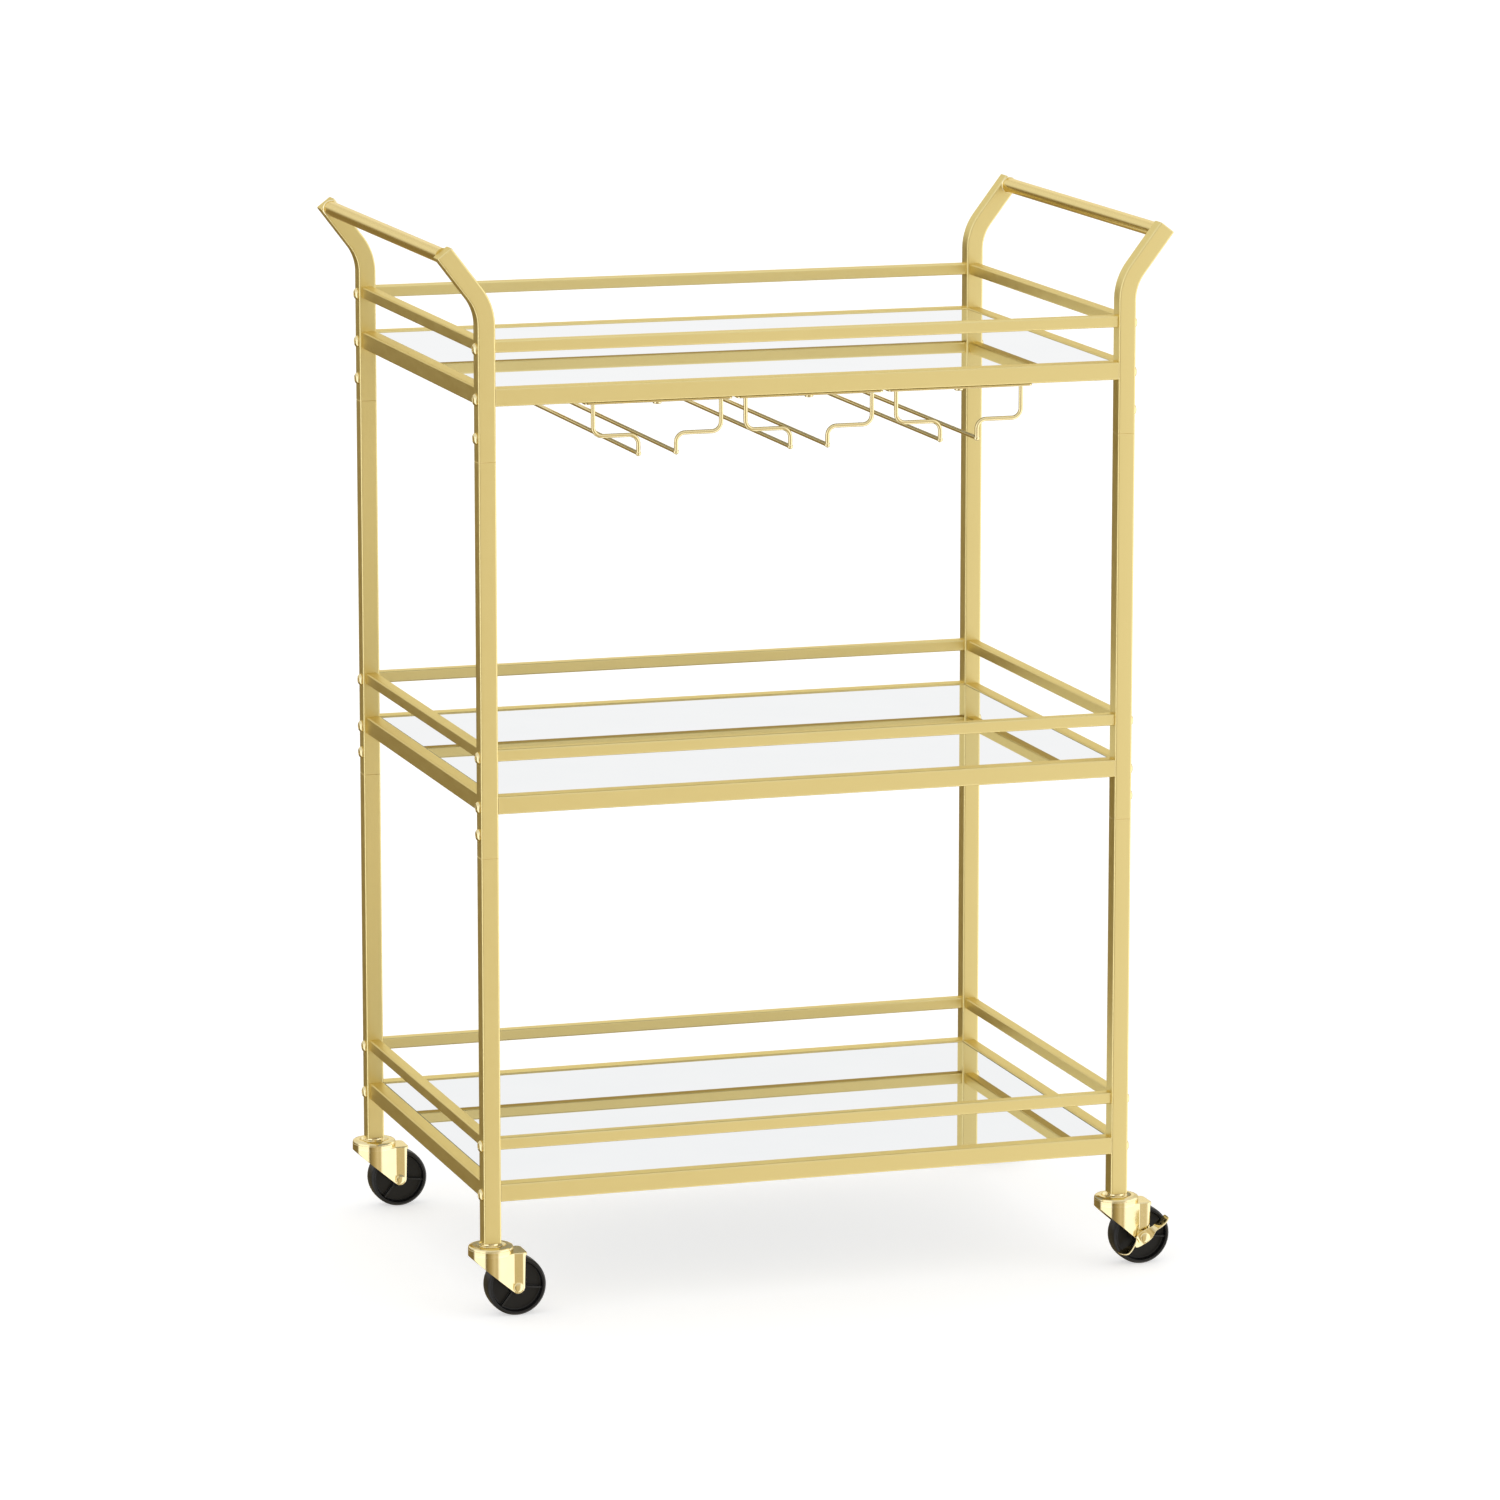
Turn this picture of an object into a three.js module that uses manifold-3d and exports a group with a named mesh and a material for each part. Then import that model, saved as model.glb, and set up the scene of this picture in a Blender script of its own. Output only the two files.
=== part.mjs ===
// Three-tier bar cart on four swivel casters, with mirror shelves and a stemware rack.
// Millimetres, +Z up, X along the cart's length, front towards -Y.
// The origin is on the floor under the middle of the cart.

import * as THREE from 'three';
import { mergeVertices } from 'three/addons/utils/BufferGeometryUtils.js';
import Module from 'manifold-3d';

const wasm = await Module();
wasm.setup();

// ---------------------------------------------------------------- driving dimensions
const GAP = 0.3;                    // clearance between pieces that touch

const POST_SIZE = 15;               // square tube of the posts
const WALL = 1;                     // wall of every square tube
const CORNER = 1.3;                 // rounded long edge of a tube, drawn as one flat
const POST_PITCH_X = 556.3;         // post centre to post centre, along the cart
const POST_PITCH_Y = 385;           // post centre to post centre, front to back
const POST_FOOT_Z = 62.8;           // lower end of the posts
const POST_JOINTS_Z = [390, 719.9]; // where one post section ends and the next begins
const NECK_LENGTH = 28;             // swaged end that enters the section above

const TIERS = { bottom: 98.2, middle: 426.9, top: 765.8 }; // underside of each tier's shelf rails
const SHELF_RAIL_HEIGHT = 15;
const LONG_RAIL_WIDTH = 14.5;
const SIDE_RAIL_WIDTH = 12.5;
const GUARD_SIZE = 10;              // square tube of the guard rails
const GUARD_RISE = 44;              // underside of a guard rail above its shelf rail's underside

const MIRROR_THICKNESS = 5;
const MIRROR_DROP = 1;              // mirror face below the top of the shelf rails
const MIRROR_EDGE_GAP = 0.6;
const LEDGE_WIDTH = 8;              // ledge of the long shelf rails, which carries the mirror
const LEDGE_THICKNESS = 1.5;

const ARM_BEND_Z = 832.2;           // where a post starts to lean outwards
const ARM_BEND_RADIUS = 44;
const ARM_LEAN = THREE.MathUtils.degToRad(37.3);
const ARM_LENGTH = 42.8;            // straight stretch after the bend
const BAR_RADIUS = 6.35;
const BAR_FROM_TIP = 5.4;           // bar centre back from the end of the arm

const RACK_PITCH = 131.2;
const RACK_PLATE = { length: 127, width: 13, thickness: 1.5 };
const RACK_WIRE_RADIUS = 1.8;
const RACK_BEND_RADIUS = 7.8;
const RACK_OUTER_X = 55;            // hanging legs, from the rack's middle
const RACK_INNER_X = 16.2;          // long wires, from the rack's middle
const RACK_STEP_DROP = 28.9;        // shelf rail underside to the horizontal step
const RACK_WIRE_DROP = 44.6;        // shelf rail underside to the long wires
const RACK_OVERLAP = 1;             // how far a hanging leg runs up into its plate

const WHEEL_RADIUS = 25.4;
const WHEEL_HALF_WIDTH = 10;
const HUB_RADIUS = 7;
const WEB = { inner: 7.6, outer: 21.3, half: 4.5 };      // recessed disc between hub and rim
const RIM = { inner: 22.0, outer: 23.8, half: 9.4 };     // flat face of the rim
const TREAD_HALF = 6.8;             // half width of the tread where its shoulders begin
const AXLE_RADIUS = 3;
const BORE_RADIUS = 3.4;
const TRAIL = 20.5;                 // axle behind the swivel axis

const FORK_RADIUS = 19;             // round head of the fork
const FORK_SHEET = 2;
const FORK_HALF_WIDTH = 12.5;
const FORK_CREASE_X = 16.8;         // where a flank meets the flat leg
const FORK_END_X = 28.9;            // back end of the plate over the wheel
const FORK_END_CUT = 5;             // cut corners of that end
const FORK_TOP_Z = 54.9;
const FORK_RIM_Z = 51.7;            // lower edge of the rim at the front of the head
const LEG_RADIUS = 5.7;             // rounded end of a fork leg, about the axle
const HEAD_SHOULDER_Z = 58.4;       // top of the head's upright wall
const HEAD_CREST = { inner: 13.8, outer: 16.9, z: 61 };  // raised ring of the head
const HEAD_BOWL = { radius: 11.8, z: 58.4 };             // dished middle of the head

const STEM_RADIUS = 4;              // kingpin
const STEM_TOP_Z = 87;
const STEM_FOOT = { radius: 7, thickness: 1.5 };         // riveted end under the fork
const WASHER = { radius: 9.9, thickness: 2.1 };          // lies in the head's bowl
const COLLAR_RADIUS = 7.2;
const PLUG_CLEARANCE = 0.5;         // plug to the post's bore

const LEVER_TILT = THREE.MathUtils.degToRad(30.7);
const LEVER_SHEET = 1.5;

// ---------------------------------------------------------------- fineness and cutting
const ARM_BEND_STEPS = 6;
const WIRE_BEND_STEPS = 3;
const WIRE_SIDES = 6;
const BAR_SIDES = 16;
const CUT_PAST = 1;                 // how far a cutting solid runs past the face that it opens

// ---------------------------------------------------------------- materials
const finish = (color, roughness, metalness) =>
  new THREE.MeshStandardMaterial({ color, roughness, metalness });

const satinGold = finish(0xdcc582, 0.38, 1);
const polishedGold = finish(0xe6cd84, 0.12, 1);
const mirrorGlass = finish(0xe9ebee, 0.03, 1);
const blackPlastic = finish(0x232323, 0.45, 0);

// ---------------------------------------------------------------- solids
function solid(geometry) {
  const shell = geometry.clone();
  shell.deleteAttribute('normal');
  shell.deleteAttribute('uv');
  const merged = mergeVertices(shell, 1e-4);
  return new wasm.Manifold(new wasm.Mesh({
    numProp: 3,
    vertProperties: new Float32Array(merged.attributes.position.array),
    triVerts: new Uint32Array(merged.index.array),
  }));
}

function geometryOf(body) {
  const mesh = body.getMesh();
  const geometry = new THREE.BufferGeometry();
  geometry.setAttribute('position', new THREE.BufferAttribute(mesh.vertProperties, 3));
  geometry.setIndex(new THREE.BufferAttribute(mesh.triVerts, 1));
  geometry.computeVertexNormals();
  return geometry;
}

const join = (...bodies) => bodies.reduce((sum, body) => sum.add(body));

function shapeOf(points) {
  return new THREE.Shape(points.map(([x, y]) => new THREE.Vector2(x, y)));
}

// Corner points of a rectangle centred on the origin, with its corners cut by a flat.
function cutRectangle(width, height, cut) {
  const [w, h] = [width / 2, height / 2];
  return [
    [w, -h + cut], [w, h - cut], [w - cut, h], [-w + cut, h],
    [-w, h - cut], [-w, -h + cut], [-w + cut, -h], [w - cut, -h],
  ];
}

const rectangle = (width, height) => [
  [width / 2, -height / 2], [width / 2, height / 2], [-width / 2, height / 2], [-width / 2, -height / 2],
];

// A prism of the outline from low to high along Z, less its hole.
function prism(outline, low, high, hole, curveSegments = 12) {
  const shape = outline instanceof THREE.Shape ? outline : shapeOf(outline);
  if (hole) shape.holes.push(new THREE.Path(hole.map(([x, y]) => new THREE.Vector2(x, y))));
  const options = { depth: high - low, bevelEnabled: false, curveSegments };
  return new THREE.ExtrudeGeometry(shape, options).translate(0, 0, low);
}

// The same prism laid along X: the outline's first axis becomes Y and its second Z.
function prismAlongX(outline, low, high, hole) {
  const turn = new THREE.Matrix4().makeBasis(
    new THREE.Vector3(0, 1, 0), new THREE.Vector3(0, 0, 1), new THREE.Vector3(1, 0, 0));
  return prism(outline, low, high, hole).applyMatrix4(turn);
}

// The same prism laid along Y: the outline's first axis becomes Z and its second X.
function prismAlongY(outline, low, high, hole) {
  const turn = new THREE.Matrix4().makeBasis(
    new THREE.Vector3(0, 0, 1), new THREE.Vector3(1, 0, 0), new THREE.Vector3(0, 1, 0));
  return prism(outline, low, high, hole).applyMatrix4(turn);
}

function rod(radius, low, high, segments) {
  return new THREE.CylinderGeometry(radius, radius, high - low, segments).translate(0, (low + high) / 2, 0);
}

// A solid of revolution about Z. The profile climbs on its outside and closes on itself.
function turned(profile, segments) {
  const points = [...profile, profile[0]].map(([r, z]) => new THREE.Vector2(r, z));
  return new THREE.LatheGeometry(points, segments).rotateX(Math.PI / 2);
}

// Skins a row of equal rings of points and closes both ends.
function skin(rings) {
  const n = rings[0].length;
  const index = [];
  for (let i = 0; i + 1 < rings.length; i++) {
    for (let k = 0; k < n; k++) {
      const [a, b] = [i * n + k, i * n + (k + 1) % n];
      index.push(a, b, b + n, a, b + n, a + n);
    }
  }
  const last = (rings.length - 1) * n;
  for (let k = 1; k + 1 < n; k++) {
    index.push(0, k + 1, k);
    index.push(last, last + k, last + k + 1);
  }
  const geometry = new THREE.BufferGeometry().setFromPoints(rings.flat());
  geometry.setIndex(index);
  return geometry;
}

// Stations along corner points in the XZ plane, with every corner rounded to the radius.
function roundedRun(corners, radius, steps) {
  const points = corners.map(([x, z]) => new THREE.Vector2(x, z));
  const heading = (a, b) => b.clone().sub(a).normalize();
  const stations = [{ at: points[0], along: heading(points[0], points[1]) }];
  for (let i = 1; i + 1 < points.length; i++) {
    const into = heading(points[i - 1], points[i]);
    const out = heading(points[i], points[i + 1]);
    const turn = Math.acos(into.dot(out));
    const side = out.clone().addScaledVector(into, -into.dot(out)).normalize();
    const start = points[i].clone().addScaledVector(into, -radius * Math.tan(turn / 2));
    for (let s = 0; s <= steps; s++) {
      const a = turn * s / steps;
      const at = start.clone().addScaledVector(into, radius * Math.sin(a));
      at.addScaledVector(side, radius * (1 - Math.cos(a)));
      const along = into.clone().multiplyScalar(Math.cos(a)).addScaledVector(side, Math.sin(a));
      stations.push({ at, along });
    }
  }
  const end = points.length - 1;
  stations.push({ at: points[end], along: heading(points[end - 1], points[end]) });
  return stations;
}

// Sweeps a section along stations in the XZ plane: across the run first, then along Y.
function swept(stations, section) {
  return skin(stations.map(({ at, along }) => section.map(([across, y]) =>
    new THREE.Vector3(at.x + across * along.y, y, at.y - across * along.x))));
}

function circlePoints(radius, count) {
  return Array.from({ length: count }, (_, k) => {
    const a = 2 * Math.PI * (k + 0.5) / count;
    return [radius * Math.cos(a), radius * Math.sin(a)];
  });
}

// ---------------------------------------------------------------- assembly
const cart = new THREE.Group();
const sides = { left: -1, right: 1 };
const ends = { front: -1, back: 1 };

function place(name, geometry, material, x = 0, y = 0, z = 0) {
  const mesh = new THREE.Mesh(geometry, material);
  mesh.name = name;
  mesh.position.set(x, y, z);
  cart.add(mesh);
}

// ---------------------------------------------------------------- posts
const POST_BORE = POST_SIZE - 2 * WALL;
const NECK_SIZE = POST_BORE - 2 * GAP;
const NECK_BORE = NECK_SIZE - 2 * WALL;
const SHOULDER = 1.5;               // end walls of the post sections

const postOutline = cutRectangle(POST_SIZE, POST_SIZE, CORNER);
const postBore = rectangle(POST_BORE, POST_BORE);

// A post section whose upper end is swaged to slide into the section above.
function neckedPost(low, high) {
  const neckBore = rectangle(NECK_BORE, NECK_BORE);
  const neckOutline = cutRectangle(NECK_SIZE, NECK_SIZE, CORNER);
  const tube = solid(prism(postOutline, low, high, postBore));
  const shoulder = solid(prism(postOutline, high - SHOULDER, high, neckBore));
  const neck = solid(prism(neckOutline, high - SHOULDER, high + NECK_LENGTH, neckBore));
  return geometryOf(join(tube, shoulder, neck));
}

// The corner where the two straight stretches of an upper post would meet, and its closed tip.
const ARM_REACH = ARM_LENGTH + ARM_BEND_RADIUS * Math.tan(ARM_LEAN / 2);
const ARM_CORNER_Z = ARM_BEND_Z + ARM_BEND_RADIUS * Math.tan(ARM_LEAN / 2);

const alongArm = (distance) => [
  distance * Math.sin(ARM_LEAN),
  ARM_CORNER_Z + distance * Math.cos(ARM_LEAN),
];

// The upper section, leaning outwards to its tip, where it carries the handle bar.
function leaningPost(side) {
  const run = (low, reach) => {
    const [x, z] = alongArm(reach);
    return roundedRun([[0, low], [0, ARM_CORNER_Z], [side * x, z]], ARM_BEND_RADIUS, ARM_BEND_STEPS);
  };
  const foot = POST_JOINTS_Z[1] + GAP;
  const outer = solid(swept(run(foot, ARM_REACH), postOutline));
  const bore = solid(swept(run(foot - CUT_PAST, ARM_REACH - SHOULDER), postBore));
  return geometryOf(outer.subtract(bore));
}

for (const [sideName, side] of Object.entries(sides)) {
  for (const [endName, end] of Object.entries(ends)) {
    const [x, y] = [side * POST_PITCH_X / 2, end * POST_PITCH_Y / 2];
    const corner = `${endName}_${sideName}`;
    place(`post_lower_${corner}`, neckedPost(POST_FOOT_Z, POST_JOINTS_Z[0]), satinGold, x, y);
    place(`post_middle_${corner}`, neckedPost(POST_JOINTS_Z[0] + GAP, POST_JOINTS_Z[1]), satinGold, x, y);
    place(`post_upper_${corner}`, leaningPost(side), satinGold, x, y);
  }
}

// ---------------------------------------------------------------- rails
const LONG_HALF = (POST_PITCH_X - POST_SIZE) / 2 - GAP;
const SIDE_HALF = (POST_PITCH_Y - POST_SIZE) / 2 - GAP;

// Inner faces of the shelf rails are flush with the posts' inner faces.
const LONG_RAIL_Y = (POST_PITCH_Y - POST_SIZE + LONG_RAIL_WIDTH) / 2;
const SIDE_RAIL_X = (POST_PITCH_X - POST_SIZE + SIDE_RAIL_WIDTH) / 2;

const MIRROR_TOP = SHELF_RAIL_HEIGHT - MIRROR_DROP;
const LEDGE_TOP = MIRROR_TOP - MIRROR_THICKNESS - GAP;

// Section of a long shelf rail. Its ledge points to the middle of the cart.
function ledgedOutline(inward) {
  const [w, h] = [LONG_RAIL_WIDTH / 2, SHELF_RAIL_HEIGHT / 2];
  const [top, bottom] = [LEDGE_TOP - h, LEDGE_TOP - LEDGE_THICKNESS - h];
  const outline = [
    [w, bottom], [w + LEDGE_WIDTH, bottom], [w + LEDGE_WIDTH, top], [w, top],
    [w, h - CORNER], [w - CORNER, h], [-w + CORNER, h], [-w, h - CORNER],
    [-w, -h + CORNER], [-w + CORNER, -h], [w - CORNER, -h], [w, -h + CORNER],
  ];
  return outline.map(([y, z]) => [inward * y, z]);
}

// A square tube of the outline, laid along X or along Y by the given prism function.
function tube(lay, outline, width, height, half) {
  return lay(outline, -half, half, rectangle(width - 2 * WALL, height - 2 * WALL));
}

const guardOutline = cutRectangle(GUARD_SIZE, GUARD_SIZE, CORNER);
const sideRailOutline = cutRectangle(SHELF_RAIL_HEIGHT, SIDE_RAIL_WIDTH, CORNER);

for (const [tier, z] of Object.entries(TIERS)) {
  const railZ = z + SHELF_RAIL_HEIGHT / 2;
  const guardZ = z + GUARD_RISE + GUARD_SIZE / 2;
  for (const [endName, end] of Object.entries(ends)) {
    const rail = tube(prismAlongX, ledgedOutline(-end), LONG_RAIL_WIDTH, SHELF_RAIL_HEIGHT, LONG_HALF);
    place(`shelf_rail_${tier}_${endName}`, rail, satinGold, 0, end * LONG_RAIL_Y, railZ);
    const guard = tube(prismAlongX, guardOutline, GUARD_SIZE, GUARD_SIZE, LONG_HALF);
    place(`guard_rail_${tier}_${endName}`, guard, satinGold, 0, end * POST_PITCH_Y / 2, guardZ);
  }
  for (const [sideName, side] of Object.entries(sides)) {
    const rail = tube(prismAlongY, sideRailOutline, SHELF_RAIL_HEIGHT, SIDE_RAIL_WIDTH, SIDE_HALF);
    place(`shelf_rail_${tier}_${sideName}`, rail, satinGold, side * SIDE_RAIL_X, 0, railZ);
    const guard = tube(prismAlongY, guardOutline, GUARD_SIZE, GUARD_SIZE, SIDE_HALF);
    place(`guard_rail_${tier}_${sideName}`, guard, satinGold, side * POST_PITCH_X / 2, 0, guardZ);
  }
}

// ---------------------------------------------------------------- mirror shelves
const mirrorOutline = rectangle(
  POST_PITCH_X - POST_SIZE - 2 * MIRROR_EDGE_GAP,
  POST_PITCH_Y - POST_SIZE - 2 * MIRROR_EDGE_GAP);

for (const [tier, z] of Object.entries(TIERS)) {
  const top = z + MIRROR_TOP;
  place(`mirror_shelf_${tier}`, prism(mirrorOutline, top - MIRROR_THICKNESS, top), mirrorGlass);
}

// ---------------------------------------------------------------- handle bars
const barOutline = circlePoints(BAR_RADIUS, BAR_SIDES);
const barBore = circlePoints(BAR_RADIUS - WALL, BAR_SIDES);

for (const [sideName, side] of Object.entries(sides)) {
  const [reach, z] = alongArm(ARM_REACH - BAR_FROM_TIP);
  const bar = prismAlongY(barOutline, -SIDE_HALF, SIDE_HALF, barBore);
  place(`handle_bar_${sideName}`, bar, satinGold, side * (POST_PITCH_X / 2 + reach), 0, z);
}

// ---------------------------------------------------------------- stemware racks
// Each end hangs from a plate by two cranked wires, and two long wires join the ends.
function glassRack() {
  const wire = circlePoints(RACK_WIRE_RADIUS, WIRE_SIDES);
  const plateTop = -GAP;
  const plateBottom = plateTop - RACK_PLATE.thickness;
  const parts = [];
  for (const end of Object.values(ends)) {
    const y = end * LONG_RAIL_Y;
    const plate = prism(rectangle(RACK_PLATE.length, RACK_PLATE.width), plateBottom, plateTop);
    parts.push(solid(plate.translate(0, y, 0)));
    for (const side of Object.values(sides)) {
      const crank = swept(roundedRun([
        [side * RACK_OUTER_X, plateBottom + RACK_OVERLAP],
        [side * RACK_OUTER_X, -RACK_STEP_DROP],
        [side * RACK_INNER_X, -RACK_STEP_DROP],
        [side * RACK_INNER_X, -RACK_WIRE_DROP],
      ], RACK_BEND_RADIUS, WIRE_BEND_STEPS), wire);
      parts.push(solid(crank.translate(0, y, 0)));
    }
  }
  for (const side of Object.values(sides)) {
    const reach = LONG_RAIL_Y + RACK_WIRE_RADIUS;
    const runner = prismAlongY(wire, -reach, reach).translate(side * RACK_INNER_X, 0, -RACK_WIRE_DROP);
    parts.push(solid(runner));
  }
  return geometryOf(join(...parts));
}

['left', 'middle', 'right'].forEach((name, i) => {
  place(`glass_rack_${name}`, glassRack(), polishedGold, (i - 1) * RACK_PITCH, 0, TIERS.top);
});

// ---------------------------------------------------------------- casters
// Every caster piece is drawn with the swivel axis on Z and the wheel trailing towards +X.

// Fixed stem: a riveted foot under the fork, the kingpin, a washer, a collar and the plug in the post.
function casterStem() {
  const footTop = FORK_TOP_Z - FORK_SHEET - GAP;
  const footLow = footTop - STEM_FOOT.thickness;
  const washerLow = HEAD_BOWL.z + GAP;
  const washerTop = washerLow + WASHER.thickness;
  const collarTop = POST_FOOT_Z - GAP;
  const plug = POST_BORE / 2 - PLUG_CLEARANCE;
  const profile = [
    [0, footLow], [STEM_FOOT.radius, footLow], [STEM_FOOT.radius, footTop], [STEM_RADIUS, footTop],
    [STEM_RADIUS, washerLow], [WASHER.radius, washerLow], [WASHER.radius, washerTop],
    [COLLAR_RADIUS, washerTop], [COLLAR_RADIUS, collarTop], [plug, collarTop],
    [plug, STEM_TOP_Z], [0, STEM_TOP_Z],
  ];
  return turned(profile, 12);
}

// Plan of the fork: a round head whose flanks run tangent to the two flat legs.
function forkPlan(inset) {
  const radius = FORK_RADIUS - inset;
  const half = FORK_HALF_WIDTH - inset;
  const endX = FORK_END_X - inset;
  const touch = Math.atan2(half, FORK_CREASE_X) + Math.acos(radius / Math.hypot(FORK_CREASE_X, half));
  const plan = new THREE.Shape();
  plan.moveTo(FORK_CREASE_X, half);
  plan.absarc(0, 0, radius, touch, 2 * Math.PI - touch, false);
  plan.lineTo(FORK_CREASE_X, -half);
  plan.lineTo(endX - FORK_END_CUT, -half);
  plan.lineTo(endX, -half + FORK_END_CUT);
  plan.lineTo(endX, half - FORK_END_CUT);
  plan.lineTo(endX - FORK_END_CUT, half);
  return plan;
}

// Side view of the fork: a short rim at the head and a slanted edge down to the round leg end.
function forkSide() {
  const rim = new THREE.Vector2(-FORK_RADIUS, FORK_RIM_Z);
  const axle = new THREE.Vector2(TRAIL, WHEEL_RADIUS);
  const toRim = rim.clone().sub(axle);
  const touch = toRim.angle() + Math.acos(LEG_RADIUS / toRim.length());
  const [frontX, backX] = [rim.x - CUT_PAST, FORK_END_X + CUT_PAST];
  const [topZ, lipZ] = [FORK_TOP_Z + CUT_PAST, FORK_TOP_Z - FORK_SHEET - 1];
  const side = new THREE.Shape();
  side.moveTo(frontX, topZ);
  side.lineTo(frontX, rim.y);
  side.lineTo(rim.x, rim.y);
  side.absarc(axle.x, axle.y, LEG_RADIUS, touch, 2 * Math.PI, false);
  side.lineTo(TRAIL + LEG_RADIUS, lipZ);
  side.lineTo(backX, lipZ);
  side.lineTo(backX, topZ);
  return side;
}

// Head of the fork: an upright wall, the raised ring and the dished middle round the kingpin.
function forkHead() {
  const hole = STEM_RADIUS + 0.5;
  const wallLow = FORK_TOP_Z - FORK_SHEET;
  const wallInner = FORK_RADIUS - FORK_SHEET + 0.2;
  const under = (z) => z - FORK_SHEET;
  return [
    [hole, under(HEAD_BOWL.z)], [HEAD_BOWL.radius + 1, under(HEAD_BOWL.z)],
    [HEAD_CREST.inner, under(HEAD_CREST.z)], [wallInner, under(HEAD_SHOULDER_Z)],
    [wallInner, wallLow], [FORK_RADIUS, wallLow],
    [FORK_RADIUS, HEAD_SHOULDER_Z], [HEAD_CREST.outer, HEAD_CREST.z], [HEAD_CREST.inner, HEAD_CREST.z],
    [HEAD_BOWL.radius, HEAD_BOWL.z], [hole, HEAD_BOWL.z],
  ];
}

// Rivet heads on the axle: how far out they sit, and their size.
const PLAIN_AXLE = { head: FORK_HALF_WIDTH, radius: 4.2, height: 1.8 };
const BRAKE_AXLE = { head: FORK_HALF_WIDTH + 4.1, radius: 4.4, height: 2 };

// Fork pressed from one sheet, with the axle riveted through its legs. The front rivet varies.
function casterFork(front) {
  const back = PLAIN_AXLE;
  const plateLow = FORK_TOP_Z - FORK_SHEET;
  const wellWidth = 2 * (FORK_HALF_WIDTH - FORK_SHEET);
  const wellLength = 2 * (FORK_END_X - FORK_CREASE_X);
  const well = prism(rectangle(wellLength, wellWidth), 0, plateLow).translate(FORK_END_X + CUT_PAST, 0, 0);
  const headHole = rod(FORK_RADIUS - FORK_SHEET + 0.6, plateLow - CUT_PAST, FORK_TOP_Z + CUT_PAST, 20);
  const sideView = new THREE.ExtrudeGeometry(forkSide(), {
    depth: 2 * (FORK_RADIUS + CUT_PAST), bevelEnabled: false, curveSegments: 4,
  });
  const shell = solid(prism(forkPlan(0), CUT_PAST, FORK_TOP_Z, null, 9))
    .subtract(solid(prism(forkPlan(FORK_SHEET), 0, plateLow, null, 9)))
    .subtract(solid(well))
    .subtract(solid(headHole.rotateX(Math.PI / 2)))
    .intersect(solid(sideView.rotateX(Math.PI / 2).translate(0, FORK_RADIUS + CUT_PAST, 0)));
  const rivets = [
    rod(AXLE_RADIUS, -front.head, back.head, 12),
    rod(front.radius, -front.head - front.height, -front.head, 12),
    rod(back.radius, back.head, back.head + back.height, 12),
  ].map((shape) => solid(shape.translate(TRAIL, 0, WHEEL_RADIUS)));
  return geometryOf(join(shell, solid(turned(forkHead(), 20)), ...rivets));
}

// Wheel section, from the bore outwards: hub, recessed web, rim and rounded tread.
function casterWheel() {
  const face = [
    [BORE_RADIUS, WHEEL_HALF_WIDTH], [HUB_RADIUS, WHEEL_HALF_WIDTH],
    [WEB.inner, WEB.half], [WEB.outer, WEB.half],
    [RIM.inner, RIM.half], [RIM.outer, RIM.half], [WHEEL_RADIUS, TREAD_HALF],
  ];
  const mirrored = face.map(([r, y]) => [r, -y]);
  const profile = [...mirrored, ...face.reverse()];
  const points = [...profile, profile[0]].map(([r, y]) => new THREE.Vector2(r, y));
  return new THREE.LatheGeometry(points, 24);
}

// Brake lever: a strip that is flat round the axle and twists into a pedal at each end.
// Each row holds a distance along the lever, then the height and reach of its two edges.
const LEVER_ROWS = [
  [-26, [0.8, 20.5], [0.2, 10.9]],
  [-21, [-2.6, 20.5], [-0.4, 10.9]],
  [-16, [-1.8, 20.2], [-0.8, 11.8]],
  [-11, [0.8, 18.8], [-3.4, 15.6]],
  [-8, [3.2, 17.9], [-4.5, 16.2]],
  [-5.5, [4.6, 15.5], [-5.2, 15.5]],
  [0, [5.5, 15.5], [-5.6, 15.5]],
  [5.5, [5, 15.5], [-4.8, 15.5]],
  [11, [3.7, 14.4], [-0.6, 18.2]],
  [16, [3.4, 12], [0.5, 20]],
  [21, [3.7, 10.9], [1.3, 20.5]],
  [26, [4.4, 10.9], [3.4, 20.5]],
];

function brakeLever() {
  const along = new THREE.Vector3(Math.cos(LEVER_TILT), 0, Math.sin(LEVER_TILT));
  const up = new THREE.Vector3(-Math.sin(LEVER_TILT), 0, Math.cos(LEVER_TILT));
  const edge = (distance, [height, reach]) =>
    new THREE.Vector3(0, -reach, 0).addScaledVector(along, distance).addScaledVector(up, height);
  const rings = LEVER_ROWS.map(([distance, upper, lower]) => {
    const [a, b] = [edge(distance, upper), edge(distance, lower)];
    const half = b.clone().sub(a).cross(along).normalize().multiplyScalar(LEVER_SHEET / 2);
    return [a.clone().add(half), b.clone().add(half), b.clone().sub(half), a.clone().sub(half)];
  });
  const strip = solid(skin(rings));
  const hole = solid(rod(BORE_RADIUS, -BRAKE_AXLE.head, 0, 16));
  return geometryOf(strip.subtract(hole).translate([TRAIL, 0, WHEEL_RADIUS]));
}

for (const [sideName, side] of Object.entries(sides)) {
  for (const [endName, end] of Object.entries(ends)) {
    const [x, y] = [side * POST_PITCH_X / 2, end * POST_PITCH_Y / 2];
    const corner = `${endName}_${sideName}`;
    const braked = sideName === 'right';
    place(`caster_stem_${corner}`, casterStem(), polishedGold, x, y);
    place(`caster_fork_${corner}`, casterFork(braked ? BRAKE_AXLE : PLAIN_AXLE), polishedGold, x, y);
    place(`caster_wheel_${corner}`, casterWheel(), blackPlastic, x + TRAIL, y, WHEEL_RADIUS);
    if (braked) place(`brake_lever_${corner}`, brakeLever(), polishedGold, x, y);
  }
}

export default cart;
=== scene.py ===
import math

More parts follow.
